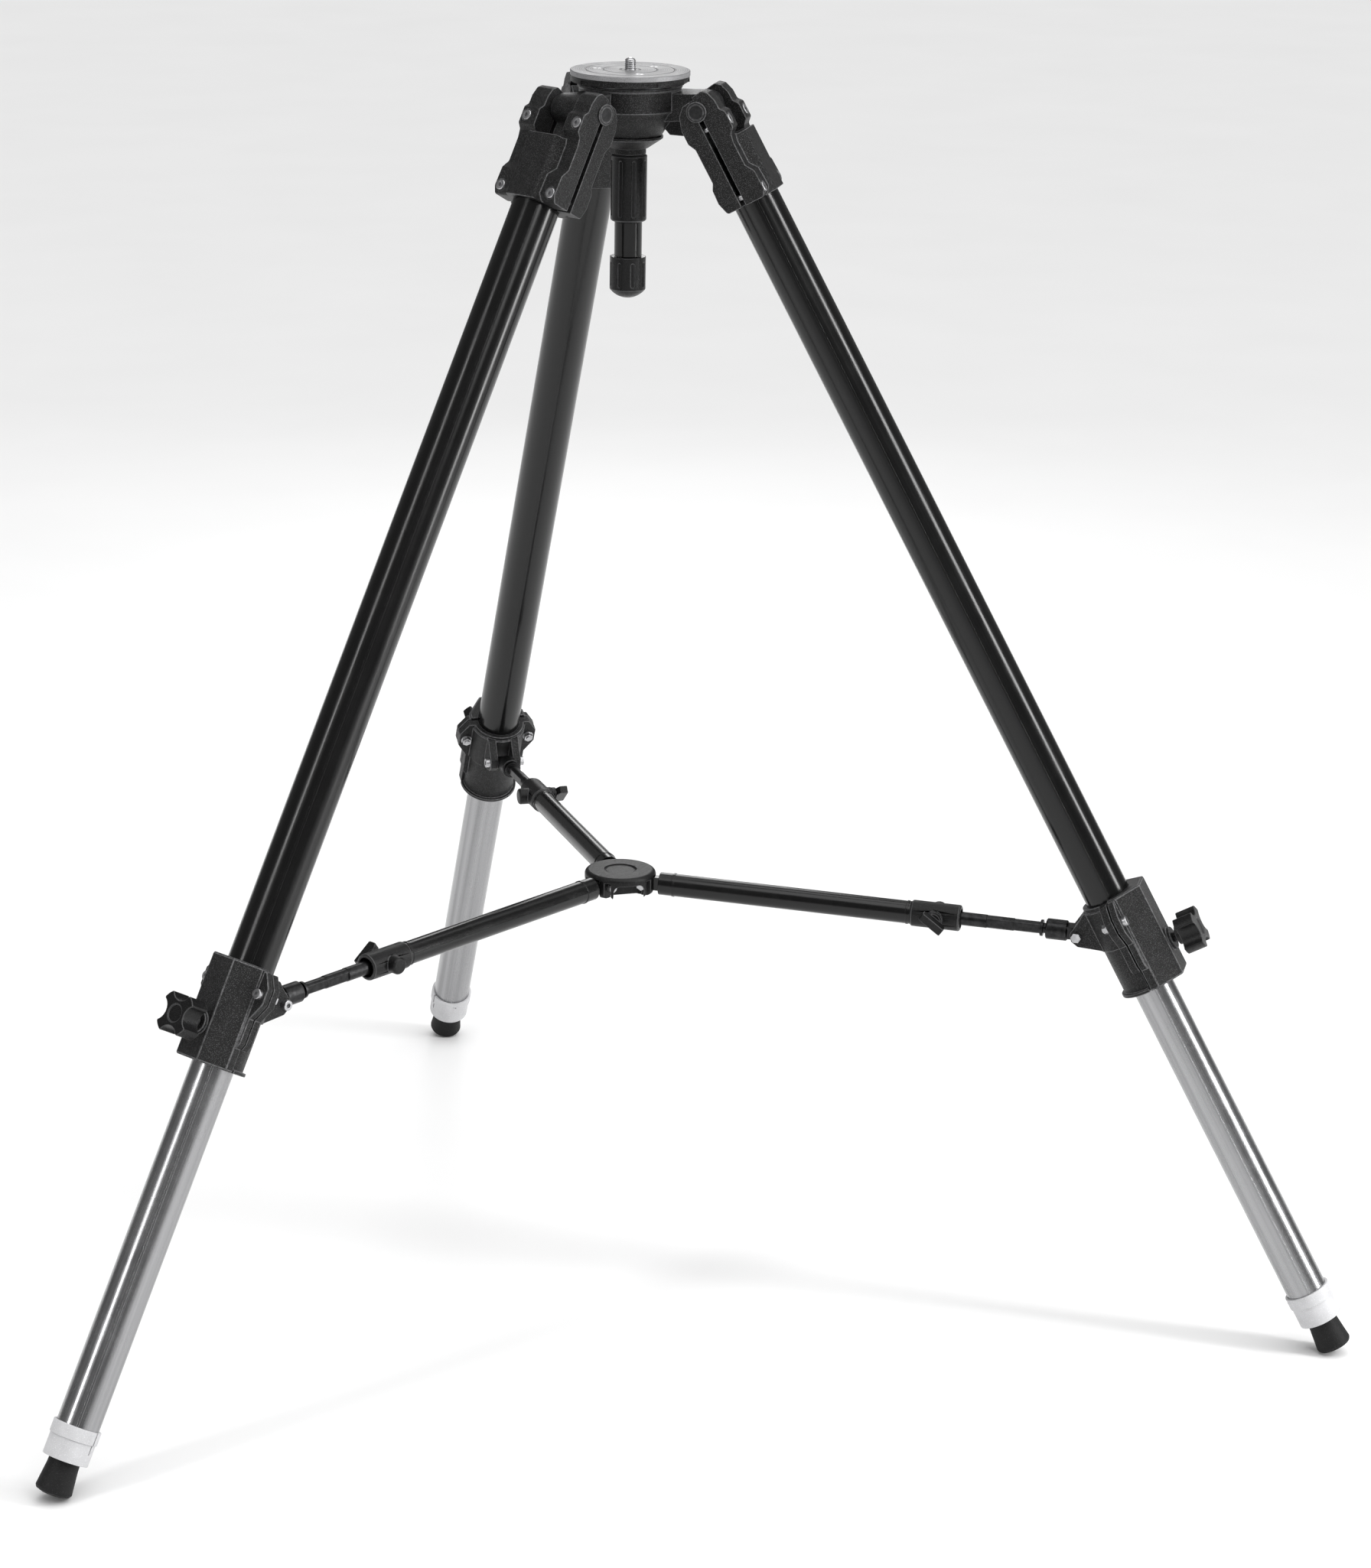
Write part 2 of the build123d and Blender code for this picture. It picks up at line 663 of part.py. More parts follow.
def ferrule():
    """Pale split ferrule at the end of the lower tube, with its small screw."""
    body = rod_z(FERRULE_BAND_R, FERRULE_Z1 - FERRULE_BAND_H, FERRULE_Z1)
    body += rod_z(FERRULE_R, FERRULE_Z0, FERRULE_Z1 - FERRULE_BAND_H)
    body -= rod_z(LOWER_R, LOWER_Z0, FERRULE_Z1 + 1)
    body -= rod_z(FOOT_NECK_R, FERRULE_Z0 - 1, LOWER_Z0 + 1)
    slit = block(LOWER_R - 0.6, 30, -0.8, 0.8, LOWER_Z0 + 4, FERRULE_Z1 + 1)
    body -= Rot(0, 0, 105) * slit
    screw_z = FERRULE_Z1 - FERRULE_BAND_H / 2
    body -= rod_x(2.2, -30, -LOWER_R, 0, screw_z)
    screw = rod_x(2.2, -FERRULE_BAND_R - 0.4, -LOWER_R, 0, screw_z)
    screw -= hex_prism_x(1.2, -FERRULE_BAND_R - 1, -FERRULE_BAND_R + 0.8, 0, screw_z)
    return on_tube(group((body, screw)))


def foot():
    """Flared rubber foot with a slightly domed sole."""
    top = FERRULE_Z0
    return on_tube(
        turned(
            (
                (0, LOWER_Z0),
                (FOOT_NECK_R, LOWER_Z0),
                (FOOT_NECK_R, top),
                (FOOT_TOP_R, top),
                (FOOT_TOP_R + 0.3, top - 6),
                (FOOT_BOTTOM_R - 0.6, FOOT_Z + 10),
                (FOOT_BOTTOM_R, FOOT_Z + 5),
                (FOOT_BOTTOM_R - 1.2, FOOT_Z + 2.6),
                (9.0, FOOT_Z + 0.8),
                (0, FOOT_Z),
            )
        )
    )


# ---------------------------------------------------------------- spreader


def in_arm(shape, azimuth):
    """Put a piece modelled in the arm frame onto one spreader arm."""
    return Rot(0, 0, azimuth) * Pos(HUB_PIN_R, 0, HUB_PIN_Z) * Rot(0, ARM_DROP, 0) * shape


def hub():
    """Round hub with a recessed centre, three slots for the arms and arches between them."""
    disc = rod_z(HUB_R, HUB_Z0, HUB_Z1)
    rims = disc.edges().filter_by(GeomType.CIRCLE)
    disc = fillet(rims, 4.0)
    disc -= rod_z(HUB_RECESS_R, HUB_Z1 - HUB_RECESS_H, HUB_Z1 + 1)
    disc += rod_z(HUB_RECESS_R - 1.6, HUB_Z1 - HUB_RECESS_H - 1, HUB_Z1 - HUB_RECESS_H + 0.6)
    arch_z1 = HUB_Z0 + HUB_ARCH_H
    arch_outline = (
        (-HUB_ARCH_HALF, HUB_Z0 - 2 * HUB_ARCH_H),
        (-HUB_ARCH_HALF, arch_z1),
        (HUB_ARCH_HALF, arch_z1),
        (HUB_ARCH_HALF, HUB_Z0 - 2 * HUB_ARCH_H),
    )
    arch = prism_x(arch_outline, HUB_CORE_R, HUB_R + 5, HUB_ARCH_CORNER_R)
    for azimuth in LEG_AZIMUTHS:
        slot = block(12.5, HUB_R + 5, -HUB_SLOT, HUB_SLOT, HUB_Z0 - 1, HUB_PIN_Z + 6.6)
        pin_hole = rod_y(M5_R, -HUB_FORK, HUB_FORK, HUB_PIN_R, HUB_PIN_Z)
        head_pocket = block(15, HUB_R + 5, HUB_FORK, 15, HUB_Z0 - 1, HUB_PIN_Z + 5)
        disc -= Rot(0, 0, azimuth) * (slot + pin_hole + mirrored(head_pocket))
        disc -= Rot(0, 0, azimuth + 60) * arch
    return disc


def hub_screws():
    """Three socket screws with nuts that pin the arms in the hub."""
    solids = []
    for azimuth in LEG_AZIMUTHS:
        screw = Rot(0, 0, 90) * Pos(HUB_FORK, 0, 0) * socket_screw_x(2 * HUB_FORK)
        nut = Rot(0, 0, 90) * hex_prism_x(M5_NUT_R, -HUB_FORK - M5_NUT_H, -HUB_FORK)
        solids.append(Rot(0, 0, azimuth) * Pos(HUB_PIN_R, 0, HUB_PIN_Z) * (screw + nut))
    return group(solids)


def arm_tube():
    """Spreader arm tube with its hub tongue, plug and end rings."""
    tube = rod_x(ARM_R, ARM_X0, ARM_X1) - rod_x(ARM_BORE_R, ARM_X0 + 16, ARM_X1 + 1)
    for x in (ARM_X0 + 12, ARM_X1 - 4):
        tube += rod_x(ARM_R + 0.5, x, x + 2) - rod_x(ARM_R - 1, x - 1, x + 3)
    tongue = block(0, ARM_X0 + 2, -TONGUE, TONGUE, -6, 6) + rod_y(6, -TONGUE, TONGUE)
    return tube + tongue - rod_y(M5_R + RUN, -TONGUE - 1, TONGUE + 1)


def arm_lock():
    """Lock body on the open end of the arm tube, with a boss on each side."""
    body = rod_x(LOCK_R, ARM_X1, LOCK_X1)
    body = chamfer(body.edges().group_by(Axis.X)[0] + body.edges().group_by(Axis.X)[-1], 1.2)
    boss = rod_y(LOCK_BOSS_R, 8, LOCK_BOSS_Y, LOCK_KNOB_X)
    boss = fillet(boss.edges().group_by(Axis.Y)[-1], 2.2)
    body += boss
    body += rod_y(7.0, -13, -8, LOCK_KNOB_X)
    body -= rod_x(ARM_BORE_R, ARM_X1 - 1, LOCK_X1 + 1)
    return body - rod_y(M5_R + RUN, -20, -5, LOCK_KNOB_X)


def arm_knob():
    """Thumb screw with a winged head that clamps the rod."""
    shank = rod_y(M5_R, -16, -ROD_THICK_R - 0.5, LOCK_KNOB_X)
    hub = rod_y(6.5, -17, -13.4, LOCK_KNOB_X)
    wing_outline = ((-11.5, -27), (11.5, -27), (11.5, -19.5), (6, -16.5), (-6, -16.5), (-11.5, -19.5))
    wing = prism_z(wing_outline, -3.6, 3.6, 1.6)
    return shank + hub + Pos(LOCK_KNOB_X, 0, 0) * Rot(0, WING_TURN, 0) * wing


def arm_rod():
    """Telescoping rod with a stepped bar, washer, end cap and the eye for the clevis."""
    rod = rod_x(ROD_THICK_R, ROD_X0, 307)
    bar = rod_x(5.6, 306, 331) & block(300, 340, -4.5, 4.5, -5.4, 5.4)
    slim = rod_x(5.2, 330, 355) & block(320, 360, -4.2, 4.2, -4.8, 4.8)
    washer = rod_x(7.2, 354, 356.5)
    neck = rod_x(4.5, 356, 360)
    cap = rod_x(9.0, 359, ARM_PITCH - 9.2)
    cap = chamfer(cap.edges().group_by(Axis.X)[0] + cap.edges().group_by(Axis.X)[-1], 1.0)
    eye = block(ARM_PITCH - 11, ARM_PITCH, -CLEVIS_IN + GAP + 0.1, CLEVIS_IN - GAP - 0.1, -5.5, 5.5)
    eye += rod_y(5.5, -CLEVIS_IN + GAP + 0.1, CLEVIS_IN - GAP - 0.1, ARM_PITCH)
    rod = rod + bar + slim + washer + neck + cap + eye
    return rod - rod_y(M5_R + RUN, -10, 10, ARM_PITCH)


def write(shape, node):
    """Save one named piece."""
    export_step(shape, "parts/" + node + ".step")


def main():
    os.makedirs("parts", exist_ok=True)
    head = (shoulder_casting, bowl_liner, half_ball, top_plate, plate_screws, clamp_cup)
    for make in head + (lock_grip, handle_tube, stud_rod, stud_knob, hub, hub_screws):
        write(make(), make.__name__)
    leg = (hinge_pin, bracket_outer, bracket_inner, bracket_screws, upper_tube, collar)
    for make in leg + (spreader_bracket, collar_screws, lock_knob, lower_tube, ferrule, foot):
        shape = make()
        for number, azimuth in enumerate(LEG_AZIMUTHS, 1):
            write(in_leg(shape, azimuth), make.__name__ + "_" + str(number))
    for make in (arm_tube, arm_lock, arm_knob, arm_rod):
        shape = make()
        for number, azimuth in enumerate(LEG_AZIMUTHS, 1):
            write(in_arm(shape, azimuth), make.__name__ + "_" + str(number))


main()
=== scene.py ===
import json
import math

import bmesh
import bpy
from mathutils import Matrix, Vector
from mathutils.bvhtree import BVHTree


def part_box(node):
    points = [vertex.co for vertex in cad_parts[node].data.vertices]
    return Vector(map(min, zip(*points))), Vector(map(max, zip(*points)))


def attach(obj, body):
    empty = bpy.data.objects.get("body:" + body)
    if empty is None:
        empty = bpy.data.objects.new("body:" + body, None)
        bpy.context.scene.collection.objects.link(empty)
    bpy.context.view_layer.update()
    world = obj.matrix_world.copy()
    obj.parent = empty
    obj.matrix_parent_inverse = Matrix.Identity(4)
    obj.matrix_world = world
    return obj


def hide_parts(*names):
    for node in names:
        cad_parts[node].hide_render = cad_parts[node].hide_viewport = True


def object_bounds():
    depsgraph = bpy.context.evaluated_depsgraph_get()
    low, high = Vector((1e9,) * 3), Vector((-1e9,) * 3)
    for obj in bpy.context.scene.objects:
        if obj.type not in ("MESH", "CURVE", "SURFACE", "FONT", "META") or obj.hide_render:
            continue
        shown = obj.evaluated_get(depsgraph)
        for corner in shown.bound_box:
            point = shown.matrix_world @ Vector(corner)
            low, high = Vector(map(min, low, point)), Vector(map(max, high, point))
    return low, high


# A heavy two-stage video tripod with a levelling head and a mid-level spreader.
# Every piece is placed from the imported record's joints and the CAD nodes' boxes. Lengths are in metres.
LEGS = (1, 2, 3)

# Meshes
MERGE_DISTANCE = 2e-6
FLAT_ANGLE = math.radians(0.4)  # faces that lie flatter than this become one
CRISP_ANGLE = math.radians(32.0)  # edges sharper than this stay crisp
ROUND_ANGLE = math.radians(33.0)  # edges sharper than this are rounded
ROUND_SEGMENTS = 2
PLATE_RIM_Z = -0.0042  # the plate's black rim lies below this

# Thread of the stud
THREAD_PITCH = 0.0015875
THREAD_DEPTH = 0.0008
THREAD_RUN_IN = 0.0006
THREAD_CRISP = math.radians(40.0)
DOME_Z = 0.0068
ROD_R = 0.004
ROOT_R = 0.0046
ROOT_Z = -0.0095
NECK_Z = -0.0004
STUD_AROUND = 56
STUD_PER_PITCH = 12

# Stage
FLOOR_R = 14.0
FLOOR_GAP = 0.0004
ROOM_GLOW = 0.2
SUN_STRENGTH = 2.35
SUN_SPREAD = math.radians(75.0)
SUN_TILT = (math.radians(12.0), math.radians(8.0), 0.0)
LIGHT_TARGET = (0.0, 0.0, -0.5)
STRIP_LIGHTS = (  # name, position, size, watts
    ("strip_right", (2.4, -1.6, 0.4), (0.42, 2.6), 60.0),
    ("strip_left", (-2.6, -1.2, 0.6), (0.30, 2.4), 22.0),
    ("strip_front", (0.6, -3.2, 1.6), (0.9, 1.2), 12.0),
    ("strip_back", (0.8, 2.6, 0.9), (0.5, 2.2), 12.0),
)

# Camera fitted to the photograph
CAMERA_DISTANCE = 3.6683
CAMERA_HEIGHT = 1.5826
GROUND_Z = -1.087
CAMERA_SWING = math.radians(-16.1475)
CAMERA_PITCH = math.radians(16.9856)
CAMERA_YAW = math.radians(0.8798)
CAMERA_ROLL = math.radians(0.9655)
SENSOR_MM = 36.0
LENS_MM = 100.16
CLIP = (0.05, 60.0)

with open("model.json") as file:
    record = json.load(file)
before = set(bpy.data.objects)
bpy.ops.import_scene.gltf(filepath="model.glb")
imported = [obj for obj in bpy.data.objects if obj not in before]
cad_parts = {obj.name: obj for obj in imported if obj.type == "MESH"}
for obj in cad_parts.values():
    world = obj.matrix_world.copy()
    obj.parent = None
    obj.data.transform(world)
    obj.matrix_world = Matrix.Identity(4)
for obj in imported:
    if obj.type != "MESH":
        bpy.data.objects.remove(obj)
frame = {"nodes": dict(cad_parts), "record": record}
cad_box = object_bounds()
NODES = frame["nodes"]
JOINTS = {joint["name"]: joint for joint in frame["record"]["behaviour"]["joints"]}


def at(joint):
    """Where a joint's axis lies, in metres."""
    return Vector(JOINTS[joint]["pos_m"])


def along(joint):
    """Direction of a joint's axis."""
    return Vector(JOINTS[joint]["axis"]).normalized()


def placement(origin, x, y, z):
    """Matrix of a local frame with these axes."""
    turn = Matrix((x, y, z)).transposed().to_4x4()
    return Matrix.Translation(origin) @ turn


def leg_frame(number):
    """Leg frame: origin on the hinge, x outward, z up along the leg."""
    z = -along("leg_extend_%d" % number)
    y = along("leg_fold_%d" % number)
    return placement(at("leg_fold_%d" % number), y.cross(z), y, z)


def arm_frame(number):
    """Spreader arm frame: origin on the hub pin, x outward along the arm."""
    origin = at("arm_swing_%d" % number)
    x = (at("rod_swing_%d" % number) - origin).normalized()
    y = along("arm_swing_%d" % number)
    return placement(origin, x, y, x.cross(y))


LEG_FRAMES = {number: leg_frame(number) for number in LEGS}
ARM_FRAMES = {number: arm_frame(number) for number in LEGS}


# ---------------------------------------------------------------- materials


class Shader:
    """Small helper that builds one node material."""

    def __init__(self, name):
        self.material = bpy.data.materials.new(name)
        self.material.use_nodes = True
        self.tree = self.material.node_tree
        self.tree.nodes.clear()
        self.out = self.tree.nodes.new("ShaderNodeOutputMaterial")
        self.bsdf = self.tree.nodes.new("ShaderNodeBsdfPrincipled")
        self.link(self.bsdf.outputs["BSDF"], self.out.inputs["Surface"])
        self.coords = self.tree.nodes.new("ShaderNodeTexCoord").outputs["Object"]

    def link(self, output, socket):
        self.tree.links.new(output, socket)

    def set(self, **values):
        """Constants of the shader, with underscores for the spaces in their names."""
        for key, value in values.items():
            self.bsdf.inputs[key.replace("_", " ")].default_value = value

    def scaled(self, scale):
        """Object coordinates in metres times a scale on each axis."""
        mapping = self.tree.nodes.new("ShaderNodeMapping")
        mapping.inputs["Scale"].default_value = scale
        self.link(self.coords, mapping.inputs["Vector"])
        return mapping.outputs["Vector"]

    def noise(self, scale, detail=3.0, roughness=0.55, stretch=(1, 1, 1)):
        """Cloudy noise, drawn out along an axis where its stretch is below 1."""
        node = self.tree.nodes.new("ShaderNodeTexNoise")
        node.inputs["Scale"].default_value = scale
        node.inputs["Detail"].default_value = detail
        node.inputs["Roughness"].default_value = roughness
        self.link(self.scaled(stretch), node.inputs["Vector"])
        return node.outputs["Fac"]

    def cells(self, scale):
        """Distance to the nearest of many scattered points."""
        node = self.tree.nodes.new("ShaderNodeTexVoronoi")
        node.inputs["Scale"].default_value = scale
        self.link(self.coords, node.inputs["Vector"])
        return node.outputs["Distance"]

    def rings(self, scale, distortion=0.0):
        """Turned rings round the z axis of the object's coordinates."""
        node = self.tree.nodes.new("ShaderNodeTexWave")
        node.wave_type = "RINGS"
        node.rings_direction = "Z"
        node.inputs["Scale"].default_value = scale
        node.inputs["Distortion"].default_value = distortion
        self.link(self.coords, node.inputs["Vector"])
        return node.outputs["Fac"]

    def total(self, a, b):
        """Sum of two outputs."""
        node = self.tree.nodes.new("ShaderNodeMath")
        node.operation = "ADD"
        self.link(a, node.inputs[0])
        self.link(b, node.inputs[1])
        return node.outputs["Value"]

    def ramp(self, value, low, high, out_low=0.0, out_high=1.0):
        """Stretches a span of values onto another, and holds the ends."""
        node = self.tree.nodes.new("ShaderNodeMapRange")
        node.inputs["From Min"].default_value = low
        node.inputs["From Max"].default_value = high
        node.inputs["To Min"].default_value = out_low
        node.inputs["To Max"].default_value = out_high
        self.link(value, node.inputs["Value"])
        return node.outputs["Result"]

    def mix(self, factor, a, b):
        """Colour between two, each an output or three numbers."""
        node = self.tree.nodes.new("ShaderNodeMix")
        node.data_type = "RGBA"
        self.link(factor, node.inputs["Factor"])
        for socket, colour in ((node.inputs[6], a), (node.inputs[7], b)):
            if isinstance(colour, tuple):
                socket.default_value = (*colour, 1.0)
            else:
                self.link(colour, socket)
        return node.outputs[2]

    def colour(self, output):
        self.link(output, self.bsdf.inputs["Base Color"])

    def roughness(self, output):
        self.link(output, self.bsdf.inputs["Roughness"])

    def bump(self, *layers):
        """Stacks bump layers given as (height output, distance in metres, strength)."""
        normal = None
        for height, distance, strength in layers:
            node = self.tree.nodes.new("ShaderNodeBump")
            node.inputs["Distance"].default_value = distance
            node.inputs["Strength"].default_value = strength
            self.link(height, node.inputs["Height"])
            if normal is not None:
                self.link(normal, node.inputs["Normal"])
            normal = node.outputs["Normal"]
        self.link(normal, self.bsdf.inputs["Normal"])


def grey(value):
    """Grey with a trace of blue."""
    return (value, value, value * 1.02)


def cast_black(name, edge_wear_and_highlight):
    """Speckled black paint over a sand-cast skin. The edge version is paler, for rounded edges: partly
    chipped paint wear, partly a painted edge highlight.
    """
    s = Shader(name)
    s.set(Metallic=0.0, Specular_IOR_Level=0.24)
    grain = s.noise(1700.0, 2.0, 0.6)
    blotch = s.noise(60.0, 4.0, 0.6)
    base = s.mix(s.ramp(blotch, 0.35, 0.7), grey(0.003), grey(0.008))
    if edge_wear_and_highlight:
        # paler chipped edge colour: partly paint wear, partly a painted edge highlight
        chips_and_highlight = s.ramp(s.noise(500.0, 3.0, 0.6), 0.35, 0.7)
        base = s.mix(chips_and_highlight, grey(0.045), grey(0.16))
    speck = s.ramp(s.cells(1250.0), 0.16, 0.34, 0.8, 0.0)
    s.colour(s.mix(speck, base, grey(0.13)))
    s.roughness(s.ramp(grain, 0.3, 0.7, 0.30, 0.5))
    s.bump((grain, 0.0007, 0.7), (s.noise(260.0, 3.0), 0.0005, 0.3))
    return s.material


def tube_metal(name, dark, light, metallic, rough_low, rough_high):
    """Drawn tube: fine lines run along z of the piece's own frame."""
    s = Shader(name)
    s.set(Metallic=metallic, Specular_IOR_Level=0.4)
    lines = s.noise(900.0, 3.0, 0.6, (1, 1, 0.006))
    bands = s.noise(160.0, 2.0, 0.5, (1, 1, 0.01))
    dust = s.noise(35.0, 5.0, 0.65)
    fleck = s.ramp(s.cells(420.0), 0.04, 0.09, 0.6, 0.0)
    base = s.mix(s.ramp(bands, 0.3, 0.7), grey(dark), grey(light))
    s.colour(s.mix(fleck, base, grey(light * 1.35)))
    s.roughness(s.ramp(s.total(lines, dust), 0.7, 1.3, rough_low, rough_high))
    s.bump((lines, 0.0002, 0.16), (s.noise(1400.0, 2.0), 0.0001, 0.12))
    return s.material


def turned_silver(name):
    """Silver plate faced on a lathe."""
    s = Shader(name)
    s.set(Metallic=0.25, Specular_IOR_Level=0.25)
    rings = s.rings(900.0)
    wide = s.rings(170.0, 0.6)
    smudge = s.noise(28.0, 4.0, 0.6)
    fleck = s.ramp(s.cells(1100.0), 0.15, 0.32, 0.75, 0.0)
    base = s.mix(s.ramp(wide, 0.2, 0.8), grey(0.19), grey(0.30))
    s.colour(s.mix(fleck, base, grey(0.07)))
    s.roughness(s.ramp(smudge, 0.3, 0.7, 0.42, 0.56))
    s.bump((rings, 0.0002, 0.2), (s.noise(1200.0, 2.0), 0.0001, 0.2))
    return s.material


def plated_steel(name, dark, light, rough):
    """Plated or blackened fastener steel with fine handling marks."""
    s = Shader(name)
    s.set(Metallic=1.0)
    cloud = s.noise(220.0, 4.0, 0.6)
    scratch = s.noise(700.0, 3.0, 0.7, (1, 0.08, 1))
    s.colour(s.mix(s.ramp(cloud, 0.3, 0.7), grey(dark), grey(light)))
    s.roughness(s.ramp(scratch, 0.3, 0.7, rough - 0.08, rough + 0.12))
    s.bump((scratch, 0.0001, 0.2))
    return s.material


def moulded(name, dark, light, rough, grain_scale, grain_depth):
    """Moulded plastic or rubber with a spark-eroded grain."""
    s = Shader(name)
    s.set(Metallic=0.0, Specular_IOR_Level=0.25)
    grain = s.noise(grain_scale, 2.0, 0.55)
    cloud = s.noise(45.0, 4.0, 0.6)
    base = s.mix(s.ramp(cloud, 0.3, 0.7), grey(dark), grey(light))
    s.colour(s.mix(s.ramp(grain, 0.58, 0.74), base, grey(light * 1.3 + 0.02)))
    s.roughness(s.ramp(grain, 0.3, 0.7, rough - 0.07, rough + 0.08))
    s.bump((grain, grain_depth, 0.5), (s.noise(90.0, 2.0), 0.0003, 0.15))
    return s.material


MATERIALS = {
    "black_casting": cast_black("cast_black", False),
    # rounded casting edges: paler colour that is partly paint wear, partly a painted edge highlight
    "casting_edge_wear_and_highlight": cast_black("cast_black_edge_wear_and_highlight", True),
    "liner_plastic": moulded("liner_plastic", 0.62, 0.7, 0.45, 1500.0, 0.0001),
    "bare_aluminium": plated_steel("turned_aluminium", 0.5, 0.6, 0.35),
    "silver_plate": turned_silver("turned_silver"),
    "black_plastic": moulded("black_plastic", 0.004, 0.008, 0.30, 1500.0, 0.0003),
    # rounded edges of the black plastic knobs and grips: paler colour that is a painted edge highlight
    "plastic_edge_highlight": moulded("plastic_edge_highlight", 0.03, 0.07, 0.32, 1500.0, 0.0003),
    "black_tube": tube_metal("black_anodised", 0.002, 0.004, 0.0, 0.14, 0.26),
    "silver_tube": tube_metal("silver_anodised", 0.27, 0.40, 1.0, 0.18, 0.32),
    "steel": plated_steel("zinc_steel", 0.36, 0.55, 0.34),
    "dark_steel": plated_steel("black_oxide", 0.02, 0.045, 0.34),
    "black_nylon": moulded("black_nylon", 0.003, 0.007, 0.42, 900.0, 0.0004),
    "pale_plastic": moulded("pale_plastic", 0.50, 0.60, 0.42, 1300.0, 0.0002),
    "rubber": moulded("rubber", 0.004, 0.008, 0.6, 1100.0, 0.0004),
}
SLOT_OF = {part["node"]: part["material_slot"] for part in frame["record"]["subparts"]}
BODY_OF = {
    node: body for body, nodes in frame["record"]["behaviour"]["bodies"].items() for node in nodes
}


# ---------------------------------------------------------------- refined pieces


def mark_sharp(mesh_bm, angle):
    """Smooth faces, with edges kept crisp above an angle."""
    for face in mesh_bm.faces:
        face.smooth = True
    for edge in mesh_bm.edges:
        if len(edge.link_faces) == 2:
            edge.smooth = edge.calc_face_angle(0.0) < angle


def clean_mesh(node, inverse, name):
    """The node's shape as a clean mesh in a local frame."""
    mesh = node.data.copy()
    mesh.name = name
    mesh.transform(inverse)
    stale = mesh.attributes.get("custom_normal")
    if stale:
        mesh.attributes.remove(stale)
    bm = bmesh.new()
    bm.from_mesh(mesh)
    bmesh.ops.remove_doubles(bm, verts=bm.verts, dist=MERGE_DISTANCE)
    bmesh.ops.dissolve_limit(
        bm, angle_limit=FLAT_ANGLE, verts=bm.verts, edges=bm.edges, use_dissolve_boundaries=False
    )
    bmesh.ops.recalc_face_normals(bm, faces=bm.faces)
    mark_sharp(bm, CRISP_ANGLE)
    bm.to_mesh(mesh)
    bm.free()
    mesh.materials.clear()
    return mesh


def rounded(mesh, width, material):
    """A copy of the mesh with rounded edges, in the given material slot (-1: their neighbours').

    Vertices that a tight corner throws off by more than the width are pulled back onto the shape.
    """
    holder = bpy.data.objects.new("rounding", mesh)
    bpy.context.scene.collection.objects.link(holder)
    modifier = holder.modifiers.new("rounded_edges", "BEVEL")
    modifier.width = width
    modifier.segments = ROUND_SEGMENTS
    modifier.limit_method = "ANGLE"
    modifier.angle_limit = ROUND_ANGLE
    modifier.harden_normals = True
    modifier.use_clamp_overlap = False
    modifier.material = material
    graph = bpy.context.evaluated_depsgraph_get()
    result = bpy.data.meshes.new_from_object(holder.evaluated_get(graph))
    result.name = mesh.name
    mesh.calc_loop_triangles()
    triangles = [tuple(triangle.vertices) for triangle in mesh.loop_triangles]
    surface = BVHTree.FromPolygons([vertex.co for vertex in mesh.vertices], triangles)
    for vertex in result.vertices:
        nearest, _, _, distance = surface.find_nearest(vertex.co)
        if distance > width:
            vertex.co = nearest
    bpy.data.objects.remove(holder)
    bpy.data.meshes.remove(mesh)
    return result


def add_piece(name, mesh, matrix, body):
    """Makes an object of a mesh in its local frame and lets it ride on a body."""
    obj = bpy.data.objects.new(name, mesh)
    bpy.context.scene.collection.objects.link(obj)
    obj.matrix_world = matrix
    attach(obj, body)
    return obj


def refine(base, frames, width, edge=None, zone=None):
    """Replaces the CAD nodes of one kind by rounded copies that share one mesh.

    edge names the material of the rounded edges, zone is (test of a face's centre, material).
    """
    mesh = None
    for number, matrix in frames.items():
        suffix = "" if number is None else "_%d" % number
        node = base + suffix
        if mesh is None:
            mesh = clean_mesh(NODES[node], matrix.inverted(), base + "_mesh")
            mesh.materials.append(MATERIALS[SLOT_OF[node]])
            if edge:
                mesh.materials.append(MATERIALS[edge])
            if zone:
                mesh.materials.append(MATERIALS[zone[1]])
                index = len(mesh.materials) - 1
                for face in mesh.polygons:
                    if zone[0](face.center):
                        face.material_index = index
            mesh = rounded(mesh, width, 1 if edge else -1)
        obj = add_piece("fine_" + node, mesh, matrix, BODY_OF[node])
        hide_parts(node)


HERE = {None: Matrix.Identity(4)}
# The edge materials colour the rounded edges paler: painted edge highlights, with paint wear as well on
# the castings.
for base, width, edge in (
    ("bracket_outer", 0.0006, "casting_edge_wear_and_highlight"),
    ("bracket_inner", 0.0006, "casting_edge_wear_and_highlight"),
    ("collar", 0.0008, "casting_edge_wear_and_highlight"),
    ("spreader_bracket", 0.0006, "casting_edge_wear_and_highlight"),
    ("hinge_pin", 0.0003, "casting_edge_wear_and_highlight"),
    ("bracket_screws", 0.00015, None),
    ("collar_screws", 0.00015, None),
    ("upper_tube", 0.00015, None),
    ("lower_tube", 0.00015, None),
    ("lock_knob", 0.0007, "plastic_edge_highlight"),
    ("ferrule", 0.0003, None),
    ("foot", 0.0005, None),
):
    refine(base, LEG_FRAMES, width, edge)
for base, width, edge in (
    ("arm_tube", 0.0003, None),
    ("arm_lock", 0.0006, "plastic_edge_highlight"),
    ("arm_knob", 0.0006, "plastic_edge_highlight"),
    ("arm_rod", 0.0003, None),
):
    refine(base, ARM_FRAMES, width, edge)
